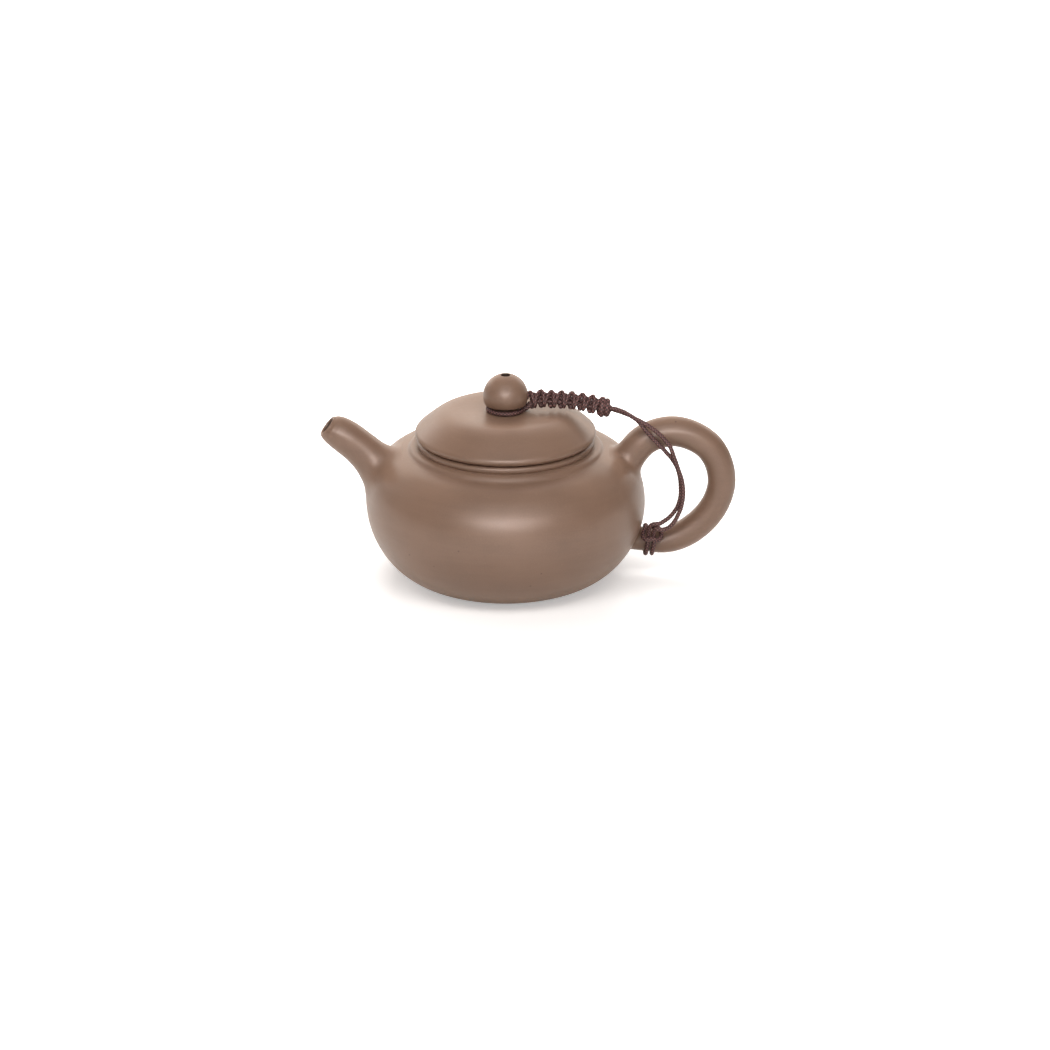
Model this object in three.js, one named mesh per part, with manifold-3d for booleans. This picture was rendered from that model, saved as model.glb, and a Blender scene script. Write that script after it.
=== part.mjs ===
// A small unglazed clay teapot: a round body with a short spout and an ear-shaped handle, a lift-off lid
// with a ball knob, and a braided cord that ties the knob to the foot of the handle.
// Sizes are in millimetres. +Z is up, the base stands on z = 0 and the pot's axis is x = y = 0.
// The spout points to -X and the handle to +X.

import * as THREE from "three";
import { mergeVertices } from "three/addons/utils/BufferGeometryUtils.js";
import Module from "manifold-3d";

const wasm = await Module();
wasm.setup();

// Body
const belly_radius = 43.4;
const belly_height = 23.8;
const base_radius = 25.5;
const shoulder_rise = 18.9;
const wall = 2.6;
const floor_thickness = 3.2;
const mouth_radius = 22.4;
const neck_land = 4;
const lower_handle_shares = [[0.757, 0.151], [1, 0.731]];
const upper_handle_shares = [[1, 0.753], [0.44, 0.933]];

// Collar, a low ring luted round the mouth
const collar_height = 2.6;
const collar_foot_inset = 0.5;
const collar_swell = 0.45;

// Lid
const rim_overhang = 1.64;
const rim_thickness = 3.4;
const rim_undercut = 1.1;
const crown_rise = 4.9;
const lid_wall = 3;
const lid_play = 0.4;
const flange_wall = 2.4;
const flange_depth = 6.5;
const flange_chamfer = 0.6;
const lid_radius_shares = [0.945, 0.885, 0.81, 0.735, 0.64, 0.5, 0.3];
const lid_rise_shares = [0.05, 0.22, 0.5, 0.78, 0.93, 0.985, 1];

// Knob, a ball on a short neck, with a vent hole down through the lid
const knob_radius = 6.95;
const knob_centre_rise = 5.22;
const neck_groove_radius = 4.6;
const knob_foot_radius = 5.4;
const knob_foot_height = 0.8;
const knob_underside_drop = 2.5;
const knob_tuck_share = 0.25;
const knob_fillet_share = 0.35;
const vent_radius = 1.45;

// Spout
const spout_root_drop = 6.7;
const spout_reach = 11.55;
const spout_rise = 12.65;
const spout_radius = 5.4;
const spout_lip = 0.75;
const spout_wall = 1.7;
const spout_mouth_tilt = 0.665;
const spout_bend_shares = [0.47, 0.66];
const spout_girth_shares = [
  [-0.5, 1.7], [-0.3, 1.62], [-0.15, 1.5], [0, 1.33], [0.09, 1.18], [0.2, 1.08], [0.34, 1.03],
  [0.48, 1.005], [0.62, 0.985], [0.75, 0.93], [0.87, 0.86], [0.95, 0.78], [1, 0.665],
];

// Strainer, a pierced dome luted inside the wall behind the spout
const strainer_radius = 8.6;
const strainer_wall = 1.5;
const strainer_hole_radius = 0.95;
const strainer_hole_pitch = 3;
const strainer_ring_counts = [1, 6, 12];
const passage_radius = 5.6;

// Handle
const handle_reach = 23.8;
const handle_top_rise = 4.2;
const handle_foot_height = 10.4;
const handle_radius = 4.45;
const handle_route_shares = [
  [-0.45, 0.54], [-0.231, 0.759], [-0.029, 0.918], [0.202, 0.99], [0.42, 1], [0.639, 0.953], [0.832, 0.86],
  [0.954, 0.722], [1, 0.559], [0.964, 0.419], [0.87, 0.288], [0.71, 0.164], [0.479, 0.055], [0.218, 0],
  [-0.038, 0.016], [-0.458, 0.082],
];
const handle_girth_shares = [
  1.3, 1.2, 1.11, 1.08, 1.07, 1.05, 1.02, 0.99, 0.98, 0.98, 0.99, 0.99, 0.94, 0.82, 0.95, 1.2,
];

// Cord
const cord_diameter = 1.3;
const braid_width = 5.7;
const braid_depth = 4.3;
const braid_knots = 9;
const braid_dip_share = 0.86;
const loop_rise = 1.05;
const loop_exit_angle = 0.16;
const hitch_legs = [44.35, 45.95];
const hitch_lift = 0.5;
const hitch_seat_share = 0.97;
const hitch_start_angle = 0.5;
const hitch_bight_angle = 0.25;
const hitch_rise_share = 0.84;
const hitch_swing_shares = [-0.85, 1.25];
const hitch_spread_shares = [[0, 0], [0.3, 1], [0.82, 1], [1, 1.2]];

// Clearances: the joint gap lies between clay pieces, the cord gap round each cord
const joint_gap = 0.3;
const cord_gap = 0.3;
const overrun = 4;

// Facets
const body_sides = 52;
const lid_sides = 48;
const ring_sides = 48;
const knob_sides = 28;
const spout_sides = 20;
const strainer_sides = 18;
const handle_sides = 16;
const cord_sides = 8;
const braid_sides = 12;
const curve_steps = 8;
const knot_steps = 4;
const loop_steps = 28;
const strand_steps = 38;
const hitch_steps = 28;

// The cord's routes, chosen by hand
const braid_route = [
  [7.55, 0, 57.2], [10.7, -0.2, 57.65], [14.2, -0.4, 57.6], [17.3, -0.6, 57.5], [20.4, -0.8, 57.3],
  [23.3, -1, 56.9], [26.2, -1.2, 56.3], [29.2, -1.5, 55.7], [32.3, -1.8, 54.95],
];
const front_strand_route = [
  [32.65, -2.7, 55], [35.9, -4.1, 54.3], [38.9, -5.4, 52.9], [41.4, -6.3, 50.7], [43.9, -6.6, 47.9],
  [46.4, -6.6, 44.7], [48.9, -6.6, 41.3], [51.3, -6.5, 37.9], [53, -6.3, 34.5], [53.8, -6.2, 31.2],
  [54.1, -6.2, 28.2], [53.8, -6.2, 25.4], [53.1, -6.2, 23.4], [52, -6.2, 21.6], [50.7, -6.2, 20.3],
  [49.3, -6.1, 19.2], [47.9, -5.9, 18.4], [46.5, -5.5, 18], [45.4, -5.1, 17.1], [44.9, -4.85, 15.9],
  [44.5, -4.7, 14.8], [44.35, -4.6, 13.86],
];
const rear_strand_route = [
  [32.8, -1, 55.3], [36, -2, 55.1], [39.2, -3.4, 54.3], [42, -4.9, 52.9], [44.7, -6.1, 50.9],
  [47.2, -6.6, 48.5], [49.3, -6.7, 46], [51, -6.8, 43.3], [52.5, -7.1, 40.4], [53.8, -7.4, 37.3],
  [54.8, -7.5, 34.2], [55.3, -7.5, 31.1], [55.4, -7.4, 28.2], [55.2, -7.4, 25.4], [54.5, -7.2, 22.9],
  [53.6, -7, 20.8], [52.5, -6.9, 19.1], [51.1, -6.8, 17.8], [49.7, -6.6, 17], [48.3, -6.2, 16.6],
  [47.2, -5.6, 16.2], [46.5, -5, 15.4], [46.1, -4.7, 14.7], [45.95, -4.6, 13.86],
];
const loop_end_route = [[6.2, 0.86, 54.9], [6.95, 0.85, 55.4]];

const clay = { color: 0x8a7163, roughness: 0.62, metalness: 0 };
const fabric = { color: 0x4a3436, roughness: 0.8, metalness: 0 };

const cord_radius = cord_diameter / 2;
const neck_radius = mouth_radius + neck_land;
const neck_height = belly_height + shoulder_rise;
const mouth_level = neck_height + collar_height;
const rim_radius = neck_radius + rim_overhang;
const rim_height = mouth_level + rim_thickness;
const crown_height = rim_height + crown_rise;
const knob_centre_height = crown_height + knob_centre_rise;
const spout_root_height = neck_height - spout_root_drop;
const handle_top_height = neck_height + handle_top_rise;
const flange_radius = mouth_radius - lid_play;
const Y_AXIS = new THREE.Vector3(0, 1, 0);

function mix(a, b, share) {
  return a + (b - a) * share;
}

// A cubic curve of [radius, height] points from its four control points
function curve_points(controls, steps) {
  const corners = controls.map(([r, z]) => new THREE.Vector2(r, z));
  const curve = new THREE.CubicBezierCurve(...corners);
  return curve.getPoints(steps).map((p) => [p.x, p.y]);
}

// The outside of the body from the edge of the base, over the belly, to the neck
function body_outline() {
  const lower = lower_handle_shares.map(([out, up]) => [
    mix(base_radius, belly_radius, out), belly_height * up,
  ]);
  const upper = upper_handle_shares.map(([out, up]) => [
    mix(neck_radius, belly_radius, out), mix(belly_height, neck_height, up),
  ]);
  const belly = [belly_radius, belly_height];
  const rise = curve_points([[base_radius, 0], ...lower, belly], curve_steps);
  const shoulder = curve_points([belly, ...upper, [neck_radius, neck_height]], curve_steps);
  return [...rise, ...shoulder.slice(1)];
}

// The outline moved sideways along its normals: outwards when the distance is positive
function offset_outline(outline, distance) {
  return outline.map((point, i) => {
    const before = outline[Math.max(i - 1, 0)];
    const after = outline[Math.min(i + 1, outline.length - 1)];
    const along = [after[0] - before[0], after[1] - before[1]];
    const length = Math.hypot(...along);
    return [point[0] + (along[1] / length) * distance, point[1] - (along[0] / length) * distance];
  });
}

function radius_at(outline, height) {
  const i = Math.max(outline.findIndex(([, z]) => z >= height), 1);
  const [low, high] = [outline[i - 1], outline[i]];
  return mix(low[0], high[0], (height - low[1]) / (high[1] - low[1]));
}

// The part of an outline above a height, with a new first point on that height
function above(outline, height) {
  return [[radius_at(outline, height), height], ...outline.filter(([, z]) => z > height)];
}

// Drops the normals, joins equal vertices and removes triangles with no area
function clean(geometry) {
  geometry.deleteAttribute("normal");
  geometry.deleteAttribute("uv");
  const merged = mergeVertices(geometry);
  const index = merged.index.array;
  const kept = [];
  for (let i = 0; i < index.length; i += 3) {
    const [a, b, c] = [index[i], index[i + 1], index[i + 2]];
    if (a !== b && b !== c && c !== a) {
      kept.push(a, b, c);
    }
  }
  merged.setIndex(kept);
  return merged;
}

function to_solid(geometry) {
  const merged = clean(geometry);
  const vertProperties = new Float32Array(merged.attributes.position.array);
  const triVerts = new Uint32Array(merged.index.array);
  return new wasm.Manifold(new wasm.Mesh({ numProp: 3, vertProperties, triVerts }));
}

function to_geometry(solid) {
  const { numProp, vertProperties, triVerts } = solid.getMesh();
  const count = vertProperties.length / numProp;
  const positions = new Float32Array(count * 3);
  for (let i = 0; i < count; i++) {
    positions.set(vertProperties.subarray(i * numProp, i * numProp + 3), i * 3);
  }
  const geometry = new THREE.BufferGeometry();
  geometry.setAttribute("position", new THREE.BufferAttribute(positions, 3));
  geometry.setIndex(Array.from(triVerts));
  return geometry;
}

// Turns a profile of [radius, height] points round the Z axis
function revolve(profile, sides) {
  const geometry = new THREE.LatheGeometry(profile.map(([r, z]) => new THREE.Vector2(r, z)), sides);
  geometry.rotateX(Math.PI / 2);
  return clean(geometry);
}

function revolve_ring(profile, sides) {
  return revolve([...profile, profile[0]], sides);
}

// Skins a row of rings and closes both ends
function loft(rings) {
  const sides = rings[0].length;
  const last = rings.length - 1;
  const centres = [rings[0], rings[last]].map((ring) => {
    return ring.reduce((sum, p) => sum.add(p), new THREE.Vector3()).divideScalar(sides);
  });
  const positions = [...rings.flat(), ...centres].flatMap((p) => [p.x, p.y, p.z]);
  const first_centre = rings.length * sides;
  const index = [];
  for (let j = 0; j < sides; j++) {
    const next = (j + 1) % sides;
    for (let i = 0; i < last; i++) {
      const [a, b] = [i * sides + j, i * sides + next];
      const [c, d] = [a + sides, b + sides];
      index.push(a, b, d, a, d, c);
    }
    index.push(first_centre, next, j);
    index.push(first_centre + 1, last * sides + j, last * sides + next);
  }
  const geometry = new THREE.BufferGeometry();
  geometry.setAttribute("position", new THREE.Float32BufferAttribute(positions, 3));
  geometry.setIndex(index);
  return geometry;
}

// An oval ring about a centre: "across" and "side" are its two half axes as vectors
function ring_points(centre, across, side, sides) {
  const points = [];
  for (let j = 0; j < sides; j++) {
    const angle = (j / sides) * Math.PI * 2;
    const point = centre.clone();
    point.addScaledVector(across, Math.cos(angle));
    point.addScaledVector(side, Math.sin(angle));
    points.push(point);
  }
  return points;
}

// A ring square to a direction that lies in the pot's middle plane
function plane_ring(centre, direction, radius, sides) {
  const across = new THREE.Vector3(direction.z, 0, -direction.x).multiplyScalar(radius);
  return ring_points(centre, across, Y_AXIS.clone().multiplyScalar(radius), sides);
}

// A tube along points in space: size_at(share) gives its half width and half depth
function tube(points, size_at, sides) {
  let across = null;
  const rings = points.map((point, i) => {
    const before = points[Math.max(i - 1, 0)];
    const after = points[Math.min(i + 1, points.length - 1)];
    const along = after.clone().sub(before).normalize();
    across = (across ?? Y_AXIS).clone().addScaledVector(along, -(across ?? Y_AXIS).dot(along)).normalize();
    const side = along.clone().cross(across);
    const [width, depth] = size_at(i / (points.length - 1));
    return ring_points(point, across.clone().multiplyScalar(depth), side.multiplyScalar(width), sides);
  });
  return loft(rings);
}

function smooth_route(route, steps) {
  const curve = new THREE.CatmullRomCurve3(route.map((p) => new THREE.Vector3(...p)), false, "centripetal");
  return curve.getSpacedPoints(steps);
}

function cord_tube(points) {
  return tube(points, () => [cord_radius, cord_radius], cord_sides);
}

const outline = body_outline();

// The body's full outside with the joint gap round it, which cuts the pieces luted onto it
function body_keepout() {
  const grown = offset_outline(outline, joint_gap);
  const base = [grown[0][0], -overrun];
  const top = [grown[grown.length - 1][0], neck_height + overrun];
  return to_solid(revolve([[0, -overrun], base, ...grown, top, [0, neck_height + overrun]], body_sides));
}

// The pot's hollow from the floor to the underside of the shoulder, shrunk by a margin
function cavity_profile(margin) {
  const inside = offset_outline(outline, -wall - margin);
  const walls = above(inside, floor_thickness + margin);
  return [[0, floor_thickness + margin], ...walls, [0, walls[walls.length - 1][1]]];
}

function spout_root() {
  return new THREE.Vector3(-radius_at(outline, spout_root_height), 0, spout_root_height);
}

function spout_mouth() {
  return new THREE.Vector3(-belly_radius - spout_reach, 0, spout_root_height + spout_rise);
}

function spout_curve() {
  const [start, end] = [spout_root(), spout_mouth()];
  const [out, up] = spout_bend_shares;
  const bend = new THREE.Vector3(mix(start.x, end.x, out), 0, mix(start.z, end.z, up));
  return new THREE.QuadraticBezierCurve3(start, bend, end);
}

// A point and direction on the spout's centre line; shares below 0 run on straight into the pot
function on_spout(share) {
  const curve = spout_curve();
  const inside = Math.max(share, 0);
  const point = curve.getPoint(inside);
  const direction = curve.getTangent(inside);
  const length = spout_root().distanceTo(spout_mouth());
  point.addScaledVector(direction, Math.min(share, 0) * length);
  return { point, direction };
}

// The mouth is cut on its own slant, so the rings turn towards that slant near the tip
function spout_rings(radius_of, sides) {
  const cut = new THREE.Vector3(-Math.cos(spout_mouth_tilt), 0, Math.sin(spout_mouth_tilt));
  return spout_girth_shares.map(([share, girth]) => {
    const { point, direction } = on_spout(share);
    const facing = direction.lerp(cut, Math.max(share, 0) ** 2).normalize();
    return plane_ring(point, facing, radius_of(girth * spout_radius, share), sides);
  });
}

// The bore follows the outside, a wall's thickness in, and the wall thins to a lip at the mouth
function bore_radius(outer, share) {
  const thickness = mix(spout_wall, spout_lip, Math.max(share, 0) ** 6);
  return Math.min(outer - thickness, passage_radius);
}

function spout_bore() {
  const rings = spout_rings(bore_radius, spout_sides);
  const tip = rings[rings.length - 1];
  const out = new THREE.Vector3(-Math.cos(spout_mouth_tilt), 0, Math.sin(spout_mouth_tilt));
  rings.push(tip.map((p) => p.clone().addScaledVector(out, overrun)));
  return to_solid(loft(rings));
}

function make_spout() {
  const outer = to_solid(loft(spout_rings((radius) => radius, spout_sides)));
  return to_geometry(outer.subtract(spout_bore()).subtract(body_keepout()));
}

// The hole through the wall behind the spout
function passage() {
  const { point, direction } = on_spout(0);
  const rings = [-wall - overrun, overrun].map((reach) => {
    const centre = point.clone().addScaledVector(direction, reach);
    return plane_ring(centre, direction, passage_radius, spout_sides);
  });
  return to_solid(loft(rings));
}

function make_body() {
  const cavity = cavity_profile(0);
  const ceiling = cavity[cavity.length - 1][1];
  const inner = cavity.slice(0, -1).reverse().filter(([r]) => r >= mouth_radius || r === 0);
  const profile = [[0, 0], ...outline, [mouth_radius, neck_height], [mouth_radius, ceiling], ...inner];
  return to_geometry(to_solid(revolve(profile, body_sides)).subtract(passage()));
}

function make_collar() {
  const foot = neck_radius - collar_foot_inset;
  const bead = [];
  for (let i = 0; i <= curve_steps; i++) {
    const share = i / curve_steps;
    const swell = Math.sin(share * Math.PI) * (collar_foot_inset + collar_swell);
    bead.push([foot + swell, neck_height + collar_height * share]);
  }
  return revolve_ring([[mouth_radius, neck_height], ...bead, [mouth_radius, mouth_level]], ring_sides);
}

// The top of the lid from the edge of the rim in to the crown
function lid_top() {
  const rise = crown_height - rim_height;
  return lid_radius_shares.map((out, i) => [rim_radius * out, rim_height + rise * lid_rise_shares[i]]);
}

function make_lid_plate() {
  const edge = [];
  const half = rim_thickness / 2;
  for (let i = 0; i <= curve_steps; i++) {
    const angle = mix(-Math.PI / 2, Math.PI / 2, i / curve_steps);
    const radius = rim_radius - rim_undercut * (1 - Math.cos(angle));
    edge.push([radius, mouth_level + half + half * Math.sin(angle)]);
  }
  const top = lid_top();
  const flange_inner = flange_radius - flange_wall;
  const under = offset_outline(top, -lid_wall).filter(([r]) => r < flange_inner - lid_wall / 2);
  const ceiling = crown_height - lid_wall;
  const inside = [...under, [vent_radius, ceiling]].reverse();
  const profile = [...inside, [flange_inner, mouth_level], ...edge, ...top, [vent_radius, crown_height]];
  return revolve_ring(profile, lid_sides);
}

function make_lid_flange() {
  const foot = mouth_level - flange_depth;
  const inner = flange_radius - flange_wall;
  return revolve_ring([
    [inner, foot], [flange_radius - flange_chamfer, foot], [flange_radius, foot + flange_chamfer],
    [flange_radius, mouth_level], [inner, mouth_level],
  ], ring_sides);
}

function make_lid_knob() {
  const turn = Math.asin(knob_underside_drop / knob_radius);
  const top = Math.acos(vent_radius / knob_radius);
  const ball = [];
  for (let i = 0; i <= curve_steps; i++) {
    const angle = mix(-turn, top, i / curve_steps);
    ball.push([knob_radius * Math.cos(angle), knob_centre_height + knob_radius * Math.sin(angle)]);
  }
  const [lip_radius, lip_height] = ball[0];
  const tuck = (lip_radius - neck_groove_radius) * knob_tuck_share;
  const fillet = mix(neck_groove_radius, knob_foot_radius, knob_fillet_share);
  return revolve_ring([
    [vent_radius, crown_height], [knob_foot_radius, crown_height],
    [fillet, crown_height + knob_foot_height * knob_fillet_share],
    [neck_groove_radius, crown_height + knob_foot_height],
    [neck_groove_radius, lip_height - tuck * 2],
    [neck_groove_radius + tuck, lip_height - tuck],
    [lip_radius - tuck, lip_height - tuck / 2], ...ball,
  ], knob_sides);
}

// A pierced dome that bulges into the pot, cut to the inside of the wall
function make_strainer() {
  const { point, direction } = on_spout(0);
  const centre = point.clone().addScaledVector(direction, -wall);
  const place = (geometry) => {
    geometry.applyQuaternion(new THREE.Quaternion().setFromUnitVectors(Y_AXIS, direction));
    geometry.translate(centre.x, centre.y, centre.z);
    return to_solid(geometry);
  };
  const dome = place(new THREE.SphereGeometry(strainer_radius, strainer_sides, strainer_sides));
  const inner_radius = strainer_radius - strainer_wall;
  const hollow = place(new THREE.SphereGeometry(inner_radius, strainer_sides, strainer_sides));
  let strainer = dome.subtract(hollow).intersect(to_solid(revolve(cavity_profile(joint_gap), body_sides)));
  for (const [ring, count] of strainer_ring_counts.entries()) {
    for (let i = 0; i < count; i++) {
      const drill = new THREE.CylinderGeometry(
        strainer_hole_radius, strainer_hole_radius, strainer_radius + overrun, cord_sides,
      );
      drill.translate(0, -(strainer_radius + overrun) / 2, 0);
      drill.rotateX((strainer_hole_pitch / inner_radius) * ring);
      drill.rotateY((i / count) * Math.PI * 2);
      strainer = strainer.subtract(place(drill));
    }
  }
  return to_geometry(strainer);
}

function make_handle() {
  const route = handle_route_shares.map(([out, up]) => [
    belly_radius + handle_reach * out, 0, mix(handle_foot_height, handle_top_height, up),
  ]);
  const curve = new THREE.CatmullRomCurve3(route.map((p) => new THREE.Vector3(...p)), false, "centripetal");
  const spans = route.length - 1;
  const rings = [];
  for (let i = 0; i <= spans * 2; i++) {
    const share = i / (spans * 2);
    const place = share * spans;
    const low = Math.min(Math.floor(place), spans - 1);
    const girth = mix(handle_girth_shares[low], handle_girth_shares[low + 1], place - low);
    const radius = handle_radius * girth;
    rings.push(plane_ring(curve.getPoint(share), curve.getTangent(share), radius, handle_sides));
  }
  return to_geometry(to_solid(loft(rings)).subtract(body_keepout()));
}

// Nine knots of flat braid: the width dips between one knot and the next
function make_braid() {
  const steps = braid_knots * knot_steps;
  const half = [braid_width / 2, braid_depth / 2];
  return tube(smooth_route(braid_route, steps), (share) => {
    const wave = Math.abs(Math.sin(share * braid_knots * Math.PI));
    const swell = mix(braid_dip_share, 1, wave);
    return half.map((size) => size * swell);
  }, braid_sides);
}

// The cord's loop in the knob's neck, open at the braid, where both ends rise to meet it
function make_neck_loop() {
  const radius = neck_groove_radius + cord_gap + cord_radius;
  const points = [];
  for (let i = 0; i <= loop_steps; i++) {
    const angle = mix(loop_exit_angle, Math.PI * 2 - loop_exit_angle, i / loop_steps);
    const [x, y] = [radius * Math.cos(angle), radius * Math.sin(angle)];
    points.push(new THREE.Vector3(x, y, crown_height + loop_rise));
  }
  for (const [x, y, z] of loop_end_route) {
    points.unshift(new THREE.Vector3(x, y, z));
    points.push(new THREE.Vector3(x, -y, z));
  }
  return cord_tube(points);
}

function hitch_spread(share) {
  const i = Math.max(hitch_spread_shares.findIndex(([at]) => at >= share), 1);
  const [low, high] = [hitch_spread_shares[i - 1], hitch_spread_shares[i]];
  return mix(low[1], high[1], (share - low[0]) / (high[0] - low[0]));
}

// A cow hitch round the foot of the handle: each leg goes down the front, under, up behind and over the top,
// and the bight between them lies across the front of both legs
function make_hitch() {
  const pitch = cord_diameter + cord_gap;
  const tight = handle_radius * hitch_seat_share + cord_gap + cord_radius;
  const leg = (x, outwards) => {
    const points = [];
    for (let i = 0; i <= hitch_steps; i++) {
      const share = i / hitch_steps;
      const angle = mix(hitch_start_angle, hitch_bight_angle - Math.PI * 2, share);
      const rise = Math.max((share - hitch_rise_share) / (1 - hitch_rise_share), 0);
      const radius = tight + pitch * rise;
      const side = x + outwards * pitch * hitch_spread(share);
      const height = handle_foot_height + hitch_lift + radius * Math.sin(angle);
      points.push(new THREE.Vector3(side, -radius * Math.cos(angle), height));
    }
    return points;
  };
  const down = leg(hitch_legs[0], hitch_swing_shares[0]);
  const up = leg(hitch_legs[1], hitch_swing_shares[1]).reverse();
  const across = down[down.length - 1].clone().lerp(up[0], 1 / 2);
  return cord_tube([...down, across, ...up]);
}

function named(name, geometry, look) {
  const mesh = new THREE.Mesh(geometry, new THREE.MeshStandardMaterial(look));
  mesh.name = name;
  return mesh;
}

const teapot = new THREE.Group();
teapot.add(named("pot_body", make_body(), clay));
teapot.add(named("mouth_collar", make_collar(), clay));
teapot.add(named("spout", make_spout(), clay));
teapot.add(named("spout_strainer", make_strainer(), clay));
teapot.add(named("handle", make_handle(), clay));
teapot.add(named("lid_plate", make_lid_plate(), clay));
teapot.add(named("lid_flange", make_lid_flange(), clay));
teapot.add(named("lid_knob", make_lid_knob(), clay));
teapot.add(named("cord_neck_loop", make_neck_loop(), fabric));
teapot.add(named("cord_braid", make_braid(), fabric));
teapot.add(named("cord_strand_front", cord_tube(smooth_route(front_strand_route, strand_steps)), fabric));
teapot.add(named("cord_strand_rear", cord_tube(smooth_route(rear_strand_route, strand_steps)), fabric));
teapot.add(named("cord_hitch", make_hitch(), fabric));

export default teapot;
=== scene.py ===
"""A small unglazed clay teapot with a lift-off lid, tied by a braided cord from its ball knob to its handle.

Every surface is a grid of points worked out with numpy, in millimetres, and is written to its mesh in metres.
"""

import bpy
import numpy as np
from bpy.props import FloatProperty, FloatVectorProperty, IntProperty, PointerProperty
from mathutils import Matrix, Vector


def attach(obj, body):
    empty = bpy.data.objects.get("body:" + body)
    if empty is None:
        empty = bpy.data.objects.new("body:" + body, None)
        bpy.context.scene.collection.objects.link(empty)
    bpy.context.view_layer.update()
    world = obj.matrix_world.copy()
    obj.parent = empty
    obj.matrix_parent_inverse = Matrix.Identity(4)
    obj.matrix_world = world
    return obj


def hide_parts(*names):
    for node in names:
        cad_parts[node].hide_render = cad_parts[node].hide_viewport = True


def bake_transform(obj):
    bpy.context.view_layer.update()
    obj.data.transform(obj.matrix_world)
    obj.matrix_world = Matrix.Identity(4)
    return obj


bl_info = {
    "name": "Clay Teapot",
    "version": (1, 0, 0),
    "blender": (4, 5, 0),
    "location": "View3D > Sidebar > Teapot",
    "description": "Builds a clay teapot, its corded lid and a studio round it",
    "category": "Add Mesh",
}

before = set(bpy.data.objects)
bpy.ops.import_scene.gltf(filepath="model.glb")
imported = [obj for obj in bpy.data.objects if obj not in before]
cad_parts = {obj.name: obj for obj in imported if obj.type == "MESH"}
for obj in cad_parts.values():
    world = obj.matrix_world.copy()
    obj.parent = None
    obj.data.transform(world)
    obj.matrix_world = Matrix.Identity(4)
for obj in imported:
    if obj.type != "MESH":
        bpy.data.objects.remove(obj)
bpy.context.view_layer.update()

# The material made here for each of the record's slots
FINISHES = {"clay": "fired_clay", "cord": "waxed_thread"}
# The body's outside from the base to the neck: the corners of two Bezier curves, as [radius, height]
BASE_CURVE = [(25.5, 0), (39.05, 3.59), (43.4, 17.4), (43.4, 23.8)]
SHOULDER_CURVE = [(43.4, 23.8), (43.4, 38.03), (33.88, 41.43), (26.4, 42.7)]
# The shoulder sinks by SINK over SINK_RUN inwards from SINK_START, and the roll takes over at ROLL_START
SINK, SINK_START, SINK_RUN, ROLL_START = 0.5, 35.5, 5.5, 32.2
# The low roll round the collar's foot, outermost point first
ROLL_WAY = [
    (31.5, 41.05), (31.0, 41.16), (30.55, 41.35), (30.2, 41.65), (29.9, 42.05), (29.58, 42.46), (29.2, 42.78),
    (28.7, 42.96), (28.1, 43.03), (27.3, 43.05),
]
# Thickness of the wall and floor, radius of the mouth and height of the neck
WALL, FLOOR, MOUTH, NECK = 2.6, 3.2, 22.4, 43.05
# Height of the mouth's straight wall, and the radius of the ceiling's inner edge and its drop below the neck
MOUTH_WALL, CEILING_RADIUS, CEILING_DROP = 3.2, 27, 3.6
# The collar's outside from the neck to its top, on which the lid sits
COLLAR_TOP = 45.3
BEAD_WAY = [
    (27.22, NECK), (27.3, 43.25), (27.42, 43.7), (27.46, 44.2), (27.35, 44.6), (27.0, 44.95), (26.5, 45.15),
    (25.6, COLLAR_TOP),
]
# A turned base stops at this radius, and a fan closes it
FAN_RADIUS = 0.5
# The handle's and spout's points all round, and how far each crease with the pot is rounded, first root first
ROLLED_SIDES = 72
HANDLE_MELTS, SPOUT_MELTS = (4.6, 2.2), (6.6, 6.6)
# A crease that spreads inside HIDE_START and above HIDE_HEIGHT is lowered by HIDE_DEPTH, under the roll
HIDE_START, HIDE_RUN, HIDE_HEIGHT, HIDE_DEPTH = 32.4, 0.8, 38, 0.5
# The edge of a crease lies this far inside the pot
TUCK = 0.12
# Rings in a crease, with the root's edge, and how much further out they reach than it is rounded
SKIRT_RINGS, SKIRT_REACH = 22, 1.15
# The braid's route is the one in the part's solids
BRAID_WAY = [
    (7.55, 0, 57.2), (10.7, -0.2, 57.65), (14.2, -0.4, 57.6), (17.3, -0.6, 57.5), (20.4, -0.8, 57.3),
    (23.3, -1, 56.9), (26.2, -1.2, 56.3), (29.2, -1.5, 55.7), (32.3, -1.8, 54.95),
]
# The strands lie as the photo shows them, up to about 1 mm from the solids, and run on into braid and hitch
FRONT_WAY = [
    (31.0, -1.4, 55.1), (32.5, -1.6, 55.0), (34.1, -2.1, 54.6), (35.5, -2.5, 54.3), (37.0, -3.1, 53.9),
    (38.4, -3.6, 53.5), (39.5, -4.1, 53.0), (40.6, -4.7, 52.3), (41.5, -5.3, 51.5), (42.4, -5.6, 50.5),
    (43.2, -5.8, 49.4), (44.2, -6.0, 48.3), (45.4, -6.1, 46.9), (46.6, -6.1, 45.6), (47.7, -6.2, 44.4),
    (48.8, -6.2, 43.3), (49.8, -6.2, 42.1), (50.9, -6.2, 40.9), (51.9, -6.2, 39.4), (52.8, -6.2, 37.9),
    (53.4, -6.2, 36.2), (54.0, -6.2, 33.5), (54.2, -6.2, 30.9), (54.2, -6.2, 28.2), (53.8, -6.2, 25.9),
    (53.1, -6.2, 24.0), (52.0, -6.2, 22.2), (50.6, -6.2, 20.6), (49.2, -6.1, 19.5), (47.9, -6.1, 18.7),
    (46.6, -6.0, 18.5), (45.5, -5.8, 18.2), (44.9, -5.5, 17.4), (44.6, -5.1, 16.1), (44.5, -4.8, 14.9),
]
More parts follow.
